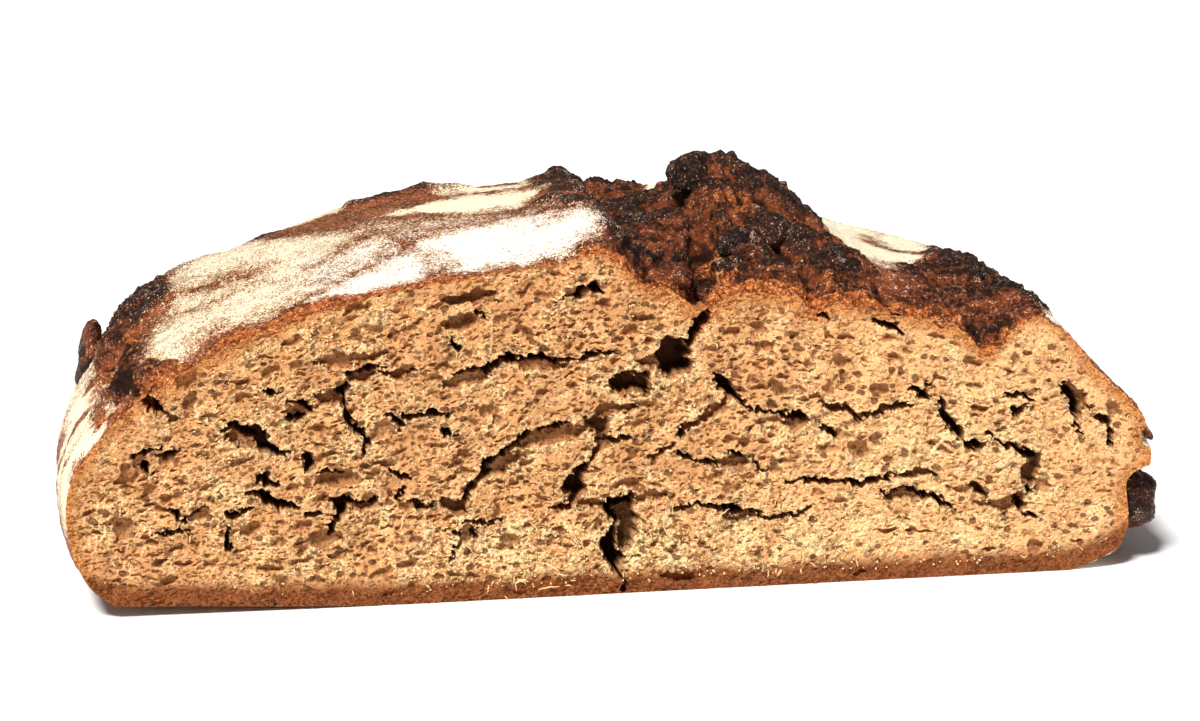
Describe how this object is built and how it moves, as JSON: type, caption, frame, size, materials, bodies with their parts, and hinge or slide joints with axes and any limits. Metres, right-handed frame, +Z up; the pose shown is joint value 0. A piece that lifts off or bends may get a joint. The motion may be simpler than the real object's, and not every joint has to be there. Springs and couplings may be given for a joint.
{
  "type": "half loaf of rye bread",
  "caption": "Cut half of a round farmhouse rye loaf, its torn crumb face to the front, with a floured, deeply burst dark crust, resting on its flat underside.",
  "frame": {"origin": "centre of the loaf's bounding box, on the plane it rests on", "axes": "+X along the cut, to the right as seen facing the crumb; +Y from the cut into the loaf; +Z up"},
  "size_m": [0.2872, 0.1856, 0.1028],
  "materials": {
    "crumb": "matt, open-pored tan crumb",
    "crust": "rough dark-brown crust, faintly glossy where it is torn, with baked-on flour"
  },
  "bodies": {
    "root": {"rye_loaf": "crumb"}
  },
  "joints": []
}
